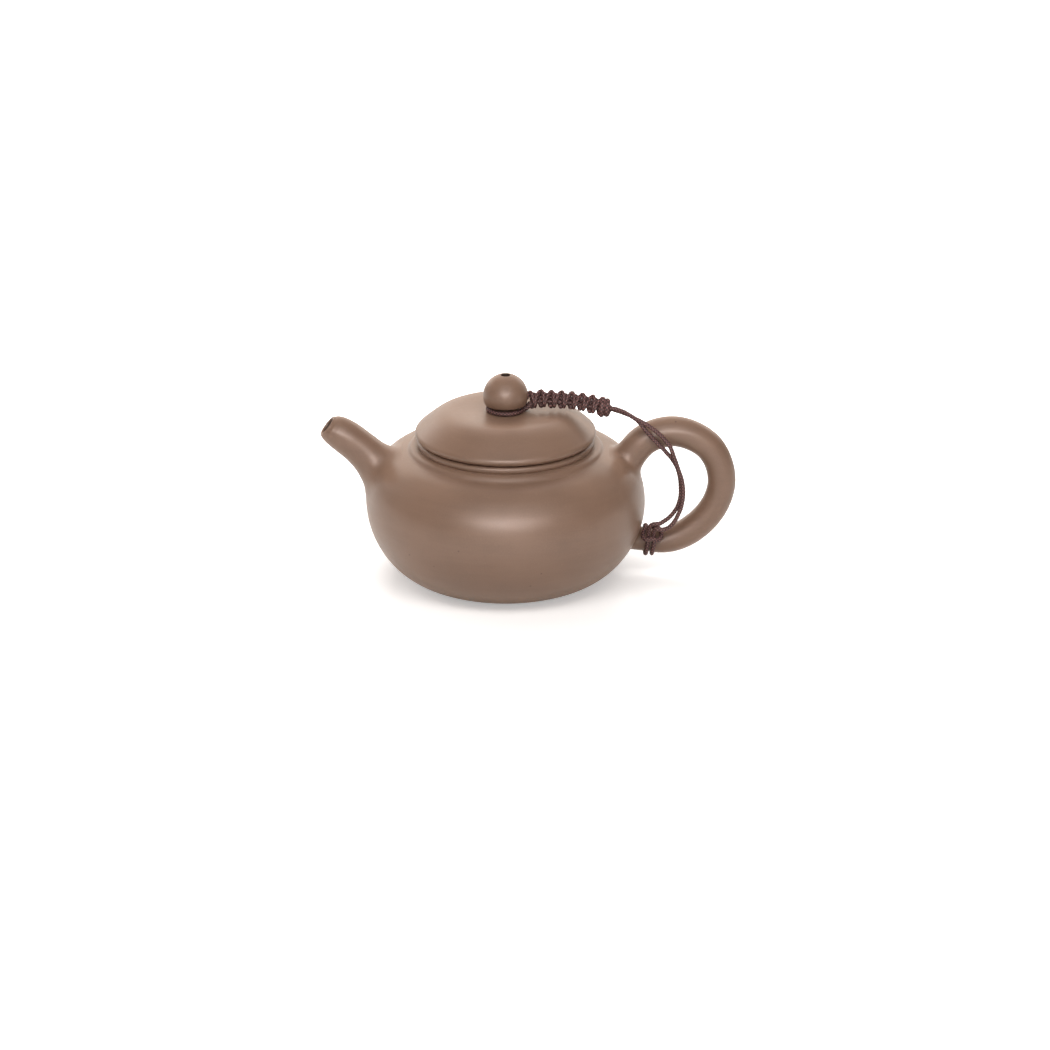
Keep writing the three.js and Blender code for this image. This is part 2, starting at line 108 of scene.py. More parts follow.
REAR_WAY = [
    (31.0, -2.1, 55.6), (32.5, -2.3, 55.4), (33.9, -2.6, 55.3), (35.3, -3.1, 55.0), (36.5, -3.6, 54.7),
    (37.5, -4.2, 54.3), (38.6, -4.8, 53.8), (39.8, -5.4, 53.2), (40.9, -5.8, 52.8), (42.1, -6.1, 52.2),
    (43.2, -6.4, 51.7), (44.4, -6.6, 50.9), (45.7, -6.7, 50.0), (47.0, -6.8, 48.9), (48.4, -7.0, 47.6),
    (49.7, -7.1, 46.0), (50.7, -7.2, 44.6), (51.4, -7.4, 43.0), (52.0, -7.5, 41.2), (52.6, -7.6, 39.6),
    (53.4, -7.6, 37.1), (54.4, -7.6, 34.1), (54.9, -7.6, 31.4), (55.0, -7.6, 28.8), (54.7, -7.6, 26.1),
    (54.2, -7.5, 23.9), (53.5, -7.5, 22.2), (52.7, -7.4, 20.4), (51.4, -7.0, 18.4), (50.1, -6.8, 17.3),
    (48.8, -6.7, 16.9), (47.6, -6.7, 17.0), (46.7, -6.5, 16.9), (46.1, -5.8, 16.1), (45.95, -4.85, 14.9),
]
# The hitch round the handle's foot: [x, degrees above the front, distance from the foot's middle]
HITCH_HEIGHT = 11.05
HITCH_TURNS = [
    (44.5, 40.5, 6.4), (44.45, 33, 5.6), (44.4, 22, 4.85), (44.25, 5, 4.45), (44.0, -20, 4.42),
    (43.8, -50, 4.42), (43.65, -85, 4.42), (43.5, -125, 4.42), (43.4, -165, 4.42), (43.45, -205, 4.42),
    (43.65, -240, 4.42), (43.85, -268, 4.45), (43.6, -290, 4.6), (43.0, -309, 4.85), (42.75, -324, 5.2),
    (43.05, -336, 5.7), (43.9, -340, 6.2), (45.1, -338, 6.4), (46.3, -340, 6.25), (47.3, -342, 5.75),
    (48.15, -335, 5.2), (48.6, -321, 4.8), (48.25, -303, 4.6), (47.6, -283, 4.5), (46.95, -260, 4.42),
    (46.4, -225, 4.42), (46.1, -185, 4.42), (45.9, -145, 4.42), (45.75, -105, 4.42), (45.65, -70, 4.42),
    (45.75, -40, 4.42), (46.0, -15, 4.42), (46.2, 5, 4.45), (46.15, 22, 4.85), (46.0, 33, 5.6),
    (45.95, 40.5, 6.4),
]
# The loop in the knob's neck: its radius and height, the angle at which an end leaves it, and the way out
LOOP_RADIUS, LOOP_HEIGHT, LOOP_EXIT = 5.45, 54.6, 0.2
LOOP_END = [(6.3, 1.0, 54.9), (7.2, 0.95, 55.6), (8.4, 0.75, 56.6), (9.6, 0.5, 57.0)]
# Gaps between points and between threads along a cord, and the share of its radius that threads stand up
CORD_STEP, THREAD_PITCH, THREAD_RELIEF = 0.13, 1.0, 0.24
# The handle's middle line as [x, height], and its girth at even steps along it as shares of its radius
HANDLE_WAY = [
    (32.7, 30.1), (37.9, 38.1), (42.7, 43.9), (48.2, 46.55), (53.4, 46.9), (58.6, 45.2), (63.2, 41.8),
    (66.1, 36.75), (67.2, 30.8), (66.35, 25.7), (64.1, 20.9), (60.3, 16.4), (54.8, 12.5), (48.6, 10.6),
    (42.5, 11.2), (32.5, 13.6),
]
HANDLE_GIRTH = [1.2, 1.14, 1.1, 1.08, 1.07, 1.05, 1.02, 0.99, 0.98, 0.98, 0.99, 0.99, 0.93, 0.78, 0.87, 1.1]
# How far the spout runs on inside the pot, its cut's tilt in radians and half the thickness of its lip
SPOUT_INSIDE, SPOUT_CUT, SPOUT_LIP = 7.6, 0.665, 0.46
# The spout's middle line: the corners of a Bezier curve, as [x, height]
SPOUT_CURVE = [(-39.8, 36.0), (-46.9, 44.35), (-54.95, 48.65)]
# Girths at the curve's parameter: the spout's as shares of its radius, the bore's as shares of its mouth
SPOUT_GIRTH = [
    (-0.4, 1.3), (0, 1.2), (0.09, 1.14), (0.2, 1.08), (0.34, 1.035), (0.48, 1.01), (0.62, 1), (0.75, 0.965),
    (0.87, 0.9), (0.95, 0.81), (1, 0.7),
]
BORE_GIRTH = [(-0.13, 1.1), (0.1, 1.35), (0.75, 1.3), (1, 1)]
# The vent's radius, and the heights at which it leaves the lid's hollow and enters the knob
VENT, VENT_END, KNOB_FOOT = 1.45, 50.6, 53.6
# The lid's outside from the edge of its seat, over the rounded rim, to the vent
LID_WAY = [
    (26.0, 45.32), (26.9, 45.5), (27.65, 45.95), (28.03, 46.7), (27.95, 47.3), (27.6, 47.85), (27, 48.4),
    (26, 49.28), (24.8, 50.28), (23.4, 51.4), (21.8, 52.53), (20, 53.45), (18, 54), (15.5, 54.2),
    (12.5, 54.12), (9.5, 53.95), (6.5, 53.78), (VENT, KNOB_FOOT),
]
# The lid's thickness and the radii between which its hollow is domed
LID_WALL, HOLLOW_INNER, HOLLOW_OUTER = 3.0, 1.5, 18.1
# The locating ring's inner and outer radius and its lower edge
RING_INNER, RING_OUTER, RING_BOTTOM = 19.6, 22.0, 38.8
# The knob's neck from the lid up, the height of the ball's middle and how far under it the ball starts
NECK_CORNERS = [(6.1, KNOB_FOOT), (5.0, 53.75), (4.6, 54.4), (4.6, 55.5), (5.2, 55.95), (6.1, 56.1)]
KNOB_CENTRE, KNOB_DROP = 58.82, 2.5
# The camera's place, what it looks at and what the soft boxes point at, in metres
CAMERA_PLACE, CAMERA_AIM, LAMP_AIM = (0.006, -1.20954, 0.49225), (0.006, 0, 0.0158), (0, 0, 0.03)


class TeapotClay(bpy.types.PropertyGroup):
    """The fired clay and the sizes of the rolled pieces"""

    colour: FloatVectorProperty(
        name="Clay", description="Colour of the unglazed clay", subtype="COLOR", size=3,
        default=(0.236, 0.142, 0.097), min=0, max=1,
    )
    sheen_roughness: FloatProperty(
        name="Roughness", description="How matt the burnished clay is", default=0.37, min=0, max=1,
    )
    handle_radius: FloatProperty(
        name="Handle radius", description="Half the thickness of the rolled handle, in millimetres",
        default=4.45, min=1,
    )
    spout_radius: FloatProperty(
        name="Spout radius", description="Outer radius of the spout's middle, in millimetres",
        default=5.4, min=2,
    )
    knob_radius: FloatProperty(
        name="Knob radius", description="Radius of the lid's ball knob, in millimetres", default=6.95, min=2,
    )
    sides: IntProperty(
        name="Sides", description="Points round each thrown piece", default=256, min=24,
    )


class TeapotCord(bpy.types.PropertyGroup):
    """The lid's cord"""

    colour: FloatVectorProperty(
        name="Thread", description="Colour of the cord's threads", subtype="COLOR", size=3,
        default=(0.125, 0.055, 0.049), min=0, max=1,
    )
    radius: FloatProperty(
        name="Cord radius", description="Half the cord's thickness, in millimetres", default=0.7, min=0.1,
    )
    knots: IntProperty(
        name="Knots", description="Knots that show along the braid, the last of them two wraps",
        default=9, min=3,
    )
    threads: IntProperty(
        name="Threads", description="Threads that run each way round the cord", default=4, min=2,
    )


class TeapotStudio(bpy.types.PropertyGroup):
    """Camera and light"""

    lens: FloatProperty(
        name="Lens", description="Focal length on a sensor 36 mm wide", subtype="DISTANCE_CAMERA",
        default=142.63,
    )
    key: FloatProperty(name="Key", description="Power of the front soft box, in watts", default=5.8, min=0)
    shine: FloatProperty(
        name="Shine", description="Power of the strip that glossy clay mirrors, in watts", default=5.2, min=0,
    )
    back: FloatProperty(name="Back", description="Power of the rear soft box, in watts", default=2.6, min=0)
    backdrop: FloatProperty(
        name="Backdrop", description="Power of the lit backdrop, in watts", default=18.5, min=0,
    )
    fill: FloatProperty(name="Fill", description="Strength of the light from all round", default=0.06, min=0)


def bezier(corners, steps):
    """Points on a Bezier curve: the sum of each corner times its Bernstein share."""
    t = np.linspace(0, 1, steps)[:, None]
    p = [np.asarray(c, float) for c in corners]
    while len(p) > 1:
        p = [a * (1 - t) + b * t for a, b in zip(p[:-1], p[1:])]
    return p[0]


def through(points, steps):
    """A smooth curve through points: centripetal Catmull-Rom spans, resampled to even spacing."""
    p = np.asarray(points, float)
    p = np.vstack([2 * p[0] - p[1], p, 2 * p[-1] - p[-2]])
    gap = np.maximum(np.linalg.norm(np.diff(p, axis=0), axis=1) ** 0.5, 1e-6)
    t = np.linspace(0, 1, 24, endpoint=False)[:, None, None]
    a, b, c = gap[:-2, None], gap[1:-1, None], gap[2:, None]
    p0, p1, p2, p3 = p[:-3], p[1:-2], p[2:-1], p[3:]
    m1 = ((p1 - p0) / a - (p2 - p0) / (a + b) + (p2 - p1) / b) * b
    m2 = ((p2 - p1) / b - (p3 - p1) / (b + c) + (p3 - p2) / c) * b
    span = p1 + m1 * t + (3 * (p2 - p1) - 2 * m1 - m2) * t**2 + (2 * (p1 - p2) + m1 + m2) * t**3
    line = np.vstack([span.transpose(1, 0, 2).reshape(-1, p.shape[1]), p[-2]])
    return even(line, steps)


def even(line, steps, way=None):
    """The same line at points evenly spaced along it, or along the way beside it."""
    gaps = np.linalg.norm(np.diff(line if way is None else way, axis=0), axis=1)
    run = np.concatenate([[0], np.cumsum(gaps)])
    at = np.linspace(0, run[-1], steps)
    return np.stack([np.interp(at, run, line[:, k]) for k in range(line.shape[1])], -1)


def length_of(line):
    """The sum of the distances from each point to the next."""
    return float(np.linalg.norm(np.diff(line, axis=0), axis=1).sum())


def cord_steps(line):
    """How many points a cord along this line gets."""
    return max(int(length_of(line) / CORD_STEP), 8)


def build(name, grid, body, nodes=(), slot="clay", ring=False, values=None):
    """A closed surface through a grid of points in mm: rows are joined in turn and each closes on itself.

    Open ends get a middle point; a grid with ring=True joins its last row to its first.
    """
    n, m = grid.shape[:2]
    index = np.arange(n * m).reshape(n, m)
    rows = np.vstack([index, index[:1]]) if ring else index
    beside = np.roll(rows, -1, axis=1)
    quads = np.stack([rows[:-1], beside[:-1], beside[1:], rows[1:]], -1).reshape(-1, 4)
    points = grid.reshape(-1, 3)
    fans = []
    if not ring:
        for row, flip in ((index[0], True), (index[-1], False)):
            middle = len(points)
            points = np.vstack([points, grid.reshape(-1, 3)[row].mean(0)])
            fan = np.stack([row, np.roll(row, -1), np.full(m, middle)], -1)
            fans.append(fan[:, ::-1] if flip else fan)
    mesh = bpy.data.meshes.new(name)
    tris = np.vstack(fans) if fans else np.zeros((0, 3), int)
    corners = np.concatenate([quads.ravel(), tris.ravel()])
    if signed_volume(points, quads, tris) < 0:
        corners = np.concatenate([quads[:, ::-1].ravel(), tris[:, ::-1].ravel()])
    mesh.vertices.add(len(points))
    mesh.vertices.foreach_set("co", (points * 0.001).astype(np.float32).ravel())
    mesh.loops.add(len(corners))
    mesh.loops.foreach_set("vertex_index", corners.astype(np.int32))
    starts = np.concatenate([np.arange(len(quads)) * 4, len(quads) * 4 + np.arange(len(tris)) * 3])
    mesh.polygons.add(len(starts))
    mesh.polygons.foreach_set("loop_start", starts.astype(np.int32))
    mesh.update(calc_edges=True)
    mesh.shade_smooth()
    for key, value in (values or {}).items():
        layer = mesh.attributes.new(key, "FLOAT", "POINT")
        full = np.zeros(len(points), np.float32)
        full[: n * m] = np.broadcast_to(value, (n, m)).ravel()
        layer.data.foreach_set("value", full)
    return place(name, mesh, body, nodes, slot)


def signed_volume(points, quads, tris):
    """Six times the volume, by the tetrahedra from the origin to each face."""
    halves = np.vstack([quads[:, [0, 1, 2]], quads[:, [0, 2, 3]], tris])
    a, b, c = (points[halves[:, k]] for k in range(3))
    return float(np.einsum("ij,ij->", a, np.cross(b, c)))


def place(name, mesh, body, nodes, slot):
    """Puts a mesh in the scene with its slot's material, hangs it under its body's empty if it has one, and
    hides the CAD nodes it stands in for.
    """
    piece = bpy.data.objects.new(name, mesh)
    bpy.context.scene.collection.objects.link(piece)
    mesh.materials.append(bpy.data.materials[FINISHES[slot]])
    if body:
        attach(piece, body)
    if nodes:
        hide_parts(*nodes)
    return piece


def turned(profile, sides):
    """A profile of [radius, height] carried round the z axis: (r cos a, r sin a, z)."""
    profile = np.asarray(profile, float)
    angle = np.linspace(0, 2 * np.pi, sides, endpoint=False)
    r, z = profile[:, :1], profile[:, 1:]
    return np.stack([r * np.cos(angle), r * np.sin(angle), z + 0 * angle], -1)


def bore_painted_shade(count, first, fade=3):
    """The share of painted shade for each row: none up to the first, and all of it a few rows further on."""
    return np.clip(np.arange(count) - first, 0, fade)[:, None] / fade


def soften(corners, radii, steps=7):
    """An open profile with each corner rounded by a Bezier turn that starts its radius away on both sides."""
    p = np.asarray(corners, float)
    out = [p[:1]]
    for i in range(1, len(p) - 1):
        before, after = p[i - 1] - p[i], p[i + 1] - p[i]
        reach = [min(radii[i], 0.49 * np.linalg.norm(v)) for v in (before, after)]
        a = p[i] + before / np.linalg.norm(before) * reach[0]
        b = p[i] + after / np.linalg.norm(after) * reach[1]
        out.append(bezier([a, p[i], b], steps) if radii[i] else p[i : i + 1])
    return np.vstack(out + [p[-1:]])


def tangents(line):
    """The line's direction at each point, one unit long."""
    step = np.gradient(line, axis=0)
    return step / np.linalg.norm(step, axis=1, keepdims=True)


def offset(profile, distance):
    """A profile moved along its right-hand normals."""
    step = tangents(profile)
    return profile + np.stack([step[:, 1], -step[:, 0]], -1) * distance


def body_outline(steps=120):
    """The pot's outside: its base and belly, the shoulder, sunk a little towards the neck, and the roll."""
    shoulder = bezier(SHOULDER_CURVE, steps)[1:]
    sink = np.clip((SINK_START - shoulder[:, 0]) / SINK_RUN, 0, 1)
    shoulder[:, 1] -= SINK * sink**2 * (3 - 2 * sink)
    shoulder = shoulder[shoulder[:, 0] > ROLL_START]
    roll = through([shoulder[-3], shoulder[-1], *ROLL_WAY], steps // 2)
    near = np.linalg.norm(roll - shoulder[-1], axis=1).argmin()
    return np.vstack([bezier(BASE_CURVE, steps), shoulder, roll[near + 1 :]])


def outside_distance(points, outline):
    """Signed distance in mm from points to the pot's outside, by the nearest part of its outline."""
    rz = np.stack([np.hypot(points[:, 0], points[:, 1]), points[:, 2]], -1)
    a, b = outline[:-1], outline[1:]
    along = b - a
    best, sign = np.full(len(rz), 1e9), np.ones(len(rz))
    for i in range(len(a)):
        to = rz - a[i]
        t = np.clip(to @ along[i] / (along[i] @ along[i]), 0, 1)
        gap = to - t[:, None] * along[i]
        d = np.hypot(gap[:, 0], gap[:, 1])
        closer = d < best
        best = np.where(closer, d, best)
        side = gap[:, 0] * along[i][1] - gap[:, 1] * along[i][0]
        sign = np.where(closer, np.where(side >= 0, 1.0, -1.0), sign)
    return best * sign


def tube_distance(points, line, girth):
    """Signed distance to a round tube: the least of the distance to its line less its radius there."""
    best = np.full(len(points), 1e9)
    for centre, radius in zip(line, girth):
        best = np.minimum(best, np.linalg.norm(points - centre, axis=1) - radius)
    return best


def melt(a, b, reach):
    """Two distances joined by a smooth minimum, which rounds the crease where the surfaces meet."""
    blend = np.maximum(reach - np.abs(a - b), 0) / reach
    return np.minimum(a, b) - blend**3 * reach / 6


def settle(points, field, rounds=6):
    """Moves points along the field's slope until the field is zero there."""
    h = 0.02
    for _ in range(rounds):
        value = field(points)
        slope = np.stack([field(points + h * np.eye(3)[k]) - value for k in range(3)], -1) / h
        points = points - slope * (value / np.maximum((slope**2).sum(1), 0.3))[:, None]
    return points


def upright(flat):
    """A line of [x, height] points set in the middle plane, where y is 0."""
    return np.stack([flat[:, 0], 0 * flat[:, 0], flat[:, 1]], -1)


def carried_frames(line, start):
    """Frames carried along a line without twist, each turned by the least angle from the one before."""
    along = tangents(line)
    normal = np.empty_like(line)
    current = np.asarray(start, float)
    for i, t in enumerate(along):
        current = current - t * (current @ t)
        current /= np.linalg.norm(current)
        normal[i] = current
    return along, normal, np.cross(along, normal)


def faced_frames(line, out):
    """Frames whose normal leans as far as it can towards the given outward directions."""
    along = tangents(line)
    normal = out - along * (out * along).sum(1, keepdims=True)
    normal /= np.linalg.norm(normal, axis=1, keepdims=True)
    return along, normal, np.cross(along, normal)


def plait(line, radius, threads, sides=32, start=(0, 1, 0), out=None, oval=(1.0, 1.0)):
    """A braided cord along a line, with its thread pattern as values and the line at its steps.

    Threads run both ways round it at a fixed pitch. Each stands up as half an ellipse across its width,
    plus a wave along it that takes it over one thread and under the next; the higher of the two shows.
    """
    steps = cord_steps(line)
    run = np.linspace(0, length_of(line), steps)
    both = even(line if out is None else np.hstack([line, out]), steps, line)
    line = both[:, :3]
    _, normal, side = carried_frames(line, start) if out is None else faced_frames(line, both[:, 3:])
    angle = np.linspace(0, 2 * np.pi, sides, endpoint=False)[None]
    u = angle * threads / (2 * np.pi) + run[:, None] / THREAD_PITCH
    v = angle * threads / (2 * np.pi) - run[:, None] / THREAD_PITCH
    over = np.cos(np.pi * np.floor(u)) * np.cos(np.pi * np.floor(v))
    right = 0.5 * np.sqrt(1 - (2 * (u % 1) - 1) ** 2) + 0.5 * over * np.sin(np.pi * (v % 1))
    left = 0.5 * np.sqrt(1 - (2 * (v % 1) - 1) ** 2) - 0.5 * over * np.sin(np.pi * (u % 1))
    relief = np.maximum(right, left)
    r = (radius * (1 - THREAD_RELIEF * (1 - relief)))[..., None]
    ring = normal[:, None] * np.cos(angle)[..., None] * oval[0]
    ring = ring + side[:, None] * np.sin(angle)[..., None] * oval[1]
    return line[:, None] + r * ring, {"relief": relief, "hand": (right > left) * 1.0}, line


class Sock:
    """A shader value: Python's operators add the Math nodes."""

    def __init__(self, maker, socket):
        self.maker, self.socket = maker, socket

    def _do(self, operation, *values):
        return self.maker("ShaderNodeMath", {"operation": operation}, *values)

    def __add__(self, other):
        return self._do("ADD", self, other)

    def __sub__(self, other):
        return self._do("SUBTRACT", self, other)

    def __rsub__(self, other):
        return self._do("SUBTRACT", other, self)

    def __mul__(self, other):
        return self._do("MULTIPLY", self, other)

    __radd__, __rmul__ = __add__, __mul__


class Shader:
    """Adds nodes to a material: call it with a type, its settings and the values or links of its sockets."""

    def __init__(self, name):
        self.material = bpy.data.materials.new(name)
        self.material.use_nodes = True
        self.tree = self.material.node_tree
        self.surface = self.tree.nodes["Principled BSDF"]

    def __call__(self, kind, settings, *values, out=0, **named):
        node = self.tree.nodes.new(kind)
        for key, value in settings.items():
            setattr(node, key, value)
        for key, value in [*enumerate(values), *named.items()]:
            self.feed(node.inputs[key if isinstance(key, int) else key.replace("_", " ")], value)
        return Sock(self, node.outputs[out])

    def feed(self, socket, value):
        """Links a shader value to a socket, or sets a plain value on it."""
        if isinstance(value, Sock):
            self.tree.links.new(value.socket, socket)
        elif value is not None:
            socket.default_value = value

    def finish(self, **inputs):
        """Feeds the surface and gives back the material."""
        for key, value in inputs.items():
            self.feed(self.surface.inputs[key.replace("_", " ")], value)
        return self.material

    def noise(self, where, scale, detail):
        """Cloudy noise from 0 to 1, with this many waves to a metre."""
        return self("ShaderNodeTexNoise", {}, where, Scale=scale, Detail=detail, Roughness=0.55)

    def blend(self, share, a, b):
        """Colour a, with a share of colour b in its place."""
        return self("ShaderNodeMix", {"data_type": "RGBA"}, share, None, None, None, None, None, a, b, out=2)

    def band(self, value, low, high, a=0.0, b=1.0):
        """A smooth rise from a to b while the value goes from low to high."""
        return self("ShaderNodeMapRange", {"interpolation_type": "SMOOTHSTEP"}, value, low, high, a, b)


def tint(colour, share):
    """A colour made darker or lighter by a share, with its alpha."""
    return (*[min(c * share, 1) for c in colour], 1)


def clay_material():
    """Fired stoneware: fine sand grain, cloudy tone, faint turning lines and a few pits."""
    clay = bpy.context.scene.teapot_clay
    sh = Shader("fired_clay")
    where = sh("ShaderNodeTexCoord", {}, out=3)
    grain = sh.noise(where, 2600, 2)
    sand = sh.noise(where, 900, 3)
    cloud = sh.noise(where, 55, 3)
    smear = sh.noise(sh("ShaderNodeMapping", {}, where, Scale=(1, 1, 9)), 60, 2)
    pits = sh("ShaderNodeTexVoronoi", {"feature": "F1"}, where, Scale=330)
    chosen = sh.noise(where, 140, 1)
    pit = sh.band(pits, 0.05, 0.16, 1.0, 0.0) * sh.band(chosen, 0.66, 0.7)
    tone = sh.band(cloud + (grain - 0.5) * 0.5 + (smear - 0.5) * 0.4, 0.2, 0.8)
    colour = sh.blend(tone, tint(clay.colour, 0.93), tint(clay.colour, 1.08))
    colour = sh.blend(sh.band(sand, 0.62, 0.78) * 0.25, colour, tint(clay.colour, 1.35))
    colour = sh.blend(pit * 0.6, colour, tint(clay.colour, 0.45))
    # Painted shade: the colour goes dark inside the spout's bore and the knob's vent, where shade falls
    stain = sh("ShaderNodeAttribute", {"attribute_name": "stain"}, out=2)
    colour = sh.blend(stain, colour, tint(clay.colour, 0.22))
    height = grain * 0.35 + sand * 0.5 + smear * 0.35 - pit * 1.4
    bump = sh("ShaderNodeBump", {}, Strength=0.1, Distance=0.0001, Height=height)
    rough = clay.sheen_roughness + (sand - 0.5) * 0.14 + (cloud - 0.5) * 0.08
    return sh.finish(Base_Color=colour, Roughness=rough, Normal=bump)


def cord_material():
    """Waxed polyester braid: raised threads painted lighter with painted glints on them, and painted shade in
    the gaps between the threads.
    """
    cord = bpy.context.scene.teapot_cord
    sh = Shader("waxed_thread")
    relief = sh("ShaderNodeAttribute", {"attribute_name": "relief"}, out=2)
    hand = sh("ShaderNodeAttribute", {"attribute_name": "hand"}, out=2)
    where = sh("ShaderNodeTexCoord", {}, out=3)
    fray = sh.noise(where, 3800, 2)
    cloud = sh.noise(where, 260, 2)
    # Painted light and shade: the raised threads are painted lighter and the gaps between them painted dark
    lit = sh.band(relief + (fray - 0.5) * 0.4, 0.55, 1.0)
    colour = sh.blend(lit, tint(cord.colour, 0.24), tint(cord.colour, 2.1))
    # Painted highlights: pale glints on the raised threads
    colour = sh.blend(sh.band(fray, 0.58, 0.75) * lit * 0.5, colour, tint(cord.colour, 2.8))
    colour = sh.blend(hand * 0.25 + cloud * 0.2, colour, tint(cord.colour, 0.45))
    bump = sh("ShaderNodeBump", {}, Strength=0.5, Distance=0.00006, Height=fray)
    return sh.finish(Base_Color=colour, Roughness=0.5 + fray * 0.25, Normal=bump)


def aim(thing, target):
    """Turns a camera or a lamp towards a point."""
    thing.rotation_euler = (Vector(target) - thing.location).to_track_quat("-Z", "Y").to_euler()


class TEAPOT_OT_studio(bpy.types.Operator):
    """Makes the camera, the white sweep and the soft boxes"""

    bl_idname = "teapot.studio"
    bl_label = "Studio"

    def execute(self, context):
        look = context.scene.teapot_studio
        camera = bpy.data.objects.new("camera", bpy.data.cameras.new("camera"))
        context.scene.collection.objects.link(camera)
        camera.data.lens, camera.data.sensor_width = look.lens, 36
        camera.data.clip_start, camera.data.clip_end = 0.05, 20
        camera.location = CAMERA_PLACE
        aim(camera, CAMERA_AIM)
        context.scene.camera = camera
        context.scene.view_settings.view_transform = "Standard"
        for name, power, at, width, height, matt, gloss in (
            ("front_box", look.key, (0, -0.55, 0.8), 0.9, 0.35, True, False),
            ("right_box", look.key * 0.22, (0.65, -0.65, 0.5), 0.5, 0.5, True, False),
            ("left_box", look.key * 0.6, (-1.0, 0.45, 0.4), 0.9, 0.7, True, False),
            ("left_front_box", look.key * 0.12, (-0.65, -0.65, 0.5), 0.5, 0.5, True, False),
            ("top_box", look.key * 0.2, (0, 0.1, 0.95), 0.8, 0.6, True, False),
            ("shine_strip", look.shine, (0, -0.8, 0.43), 1.0, 0.34, False, True),
            ("shine_core", look.shine * 0.6, (0, -0.85, 0.38), 0.5, 0.25, False, True),
            ("back_box", look.back * 2.2, (0, 0.58, 0.66), 0.7, 0.26, True, False),
            ("back_shine", look.back * 0.4, (0, 0.58, 0.66), 0.7, 0.26, False, True),
            ("back_left_box", look.back * 0.4, (-0.8, 0.8, 0.45), 0.7, 0.5, True, True),
            ("back_right_box", look.back * 0.3, (0.8, 0.8, 0.45), 0.7, 0.5, True, True),
            ("lit_backdrop", look.backdrop, (0, 1.5, 0.6), 2.8, 1.2, False, True),
        ):
            lamp = self.lamp(name, power, at, width, height)
            lamp.visible_diffuse, lamp.visible_glossy = matt, gloss
        bpy.data.lights["lit_backdrop"].color = (1, 0.9, 0.8)
        self.world(context, look.fill)
        half = 3.0
        mesh = bpy.data.meshes.new("floor")
        corners = [(-half, -half, 0), (half, -half, 0), (half, half, 0), (-half, half, 0)]
        mesh.from_pydata(corners, [], [(0, 1, 2, 3)])
        floor = bpy.data.objects.new("floor", mesh)
        context.scene.collection.objects.link(floor)
        mesh.materials.append(self.paper())
        return {"FINISHED"}

    def lamp(self, name, power, at, width, height):
        """A soft box, in metres and watts, that the camera doesn't see."""
        light = bpy.data.lights.new(name, "AREA")
        light.shape, light.size, light.size_y, light.energy = "RECTANGLE", width, height, power
        lamp = bpy.data.objects.new(name, light)
        lamp.location = at
        aim(lamp, LAMP_AIM)
        lamp.visible_camera = False
        bpy.context.scene.collection.objects.link(lamp)
        return lamp

    def paper(self):
        """White paper: its colour takes the shadow, and the camera sees it glow up to white further out.

        Clay mirrors it as a warm grey.
        """
        sh = Shader("sweep_paper")
        where = sh("ShaderNodeTexCoord", {}, out=3)
        far = sh("ShaderNodeVectorMath", {"operation": "LENGTH"}, where, out=1)
        seen = sh("ShaderNodeLightPath", {}, out=0)
        mirrored = sh("ShaderNodeLightPath", {}, out=3)
        near_pot, clear_of_pot = 0.045, 0.15
        lift = sh.band(far, near_pot, clear_of_pot, 0.38, 1.0)
        glow = sh.blend(seen * lift, (0, 0, 0, 1), (1, 1, 1, 1))
        glow = sh.blend(mirrored, glow, (0.24, 0.205, 0.17, 1))
        sh.surface.inputs["Emission Strength"].default_value = 1
        return sh.finish(Base_Color=(0.88, 0.855, 0.83, 1), Roughness=0.9, Emission_Color=glow)

    def world(self, context, fill):
        """A surround that is white to the camera and as weak as the fill to everything else."""
        world = bpy.data.worlds.new("surround")
        context.scene.world = world
        world.use_nodes = True
        tree = world.node_tree
        back = tree.nodes["Background"]
        path = tree.nodes.new("ShaderNodeLightPath")
        level = tree.nodes.new("ShaderNodeMapRange")
        level.inputs["To Min"].default_value = fill
        tree.links.new(path.outputs["Is Camera Ray"], level.inputs["Value"])
        back.inputs["Color"].default_value = (1, 1, 1, 1)
        tree.links.new(level.outputs[0], back.inputs["Strength"])


class TEAPOT_OT_materials(bpy.types.Operator):
    """Makes the clay and cord materials, and gives them to the CAD nodes"""

    bl_idname = "teapot.materials"
    bl_label = "Materials"

    def execute(self, context):
        clay_material()
        cord_material()
        for name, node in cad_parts.items():
            slot = "cord" if name.startswith("cord_") else "clay"
            node.data.materials.clear()
            node.data.materials.append(bpy.data.materials[FINISHES[slot]])
        return {"FINISHED"}


class TEAPOT_OT_body(bpy.types.Operator):
    """Throws the round body and turns the collar round its mouth"""

    bl_idname = "teapot.body"
    bl_label = "Body and collar"

    def execute(self, context):
        sides = context.scene.teapot_clay.sides
        outline = body_outline()
        # The foot replaces the outline's first rows. The inner wall ends under the shoulder at one radius,
        # and its lower end runs in to the floor
        foot_rows, wall_end, floor_run = 7, 30, 3
        inner = offset(outline, -WALL)
        inner = inner[(inner[:, 1] > FLOOR) & (inner[:, 0] > wall_end)][::-2]
        foot = soften([(FAN_RADIUS, 0), BASE_CURVE[0], tuple(outline[foot_rows - 1])], [0, 0.7, 0])
        hollow = [(MOUTH, NECK), (MOUTH, NECK - MOUTH_WALL), (CEILING_RADIUS, NECK - CEILING_DROP)]
        base = [(inner[-1, 0] - floor_run, FLOOR), (FAN_RADIUS, FLOOR)]
        profile = np.vstack([foot, outline[foot_rows:], hollow, inner, base])
        build("pot_shell", turned(profile, sides), "pot", ["pot_body"])
        bead = through(BEAD_WAY, 24)
        collar = np.vstack([[(MOUTH, NECK)], bead, [(MOUTH, COLLAR_TOP)]])
        build("mouth_ring", turned(collar, sides), "pot", ["mouth_collar"], ring=True)
        return {"FINISHED"}


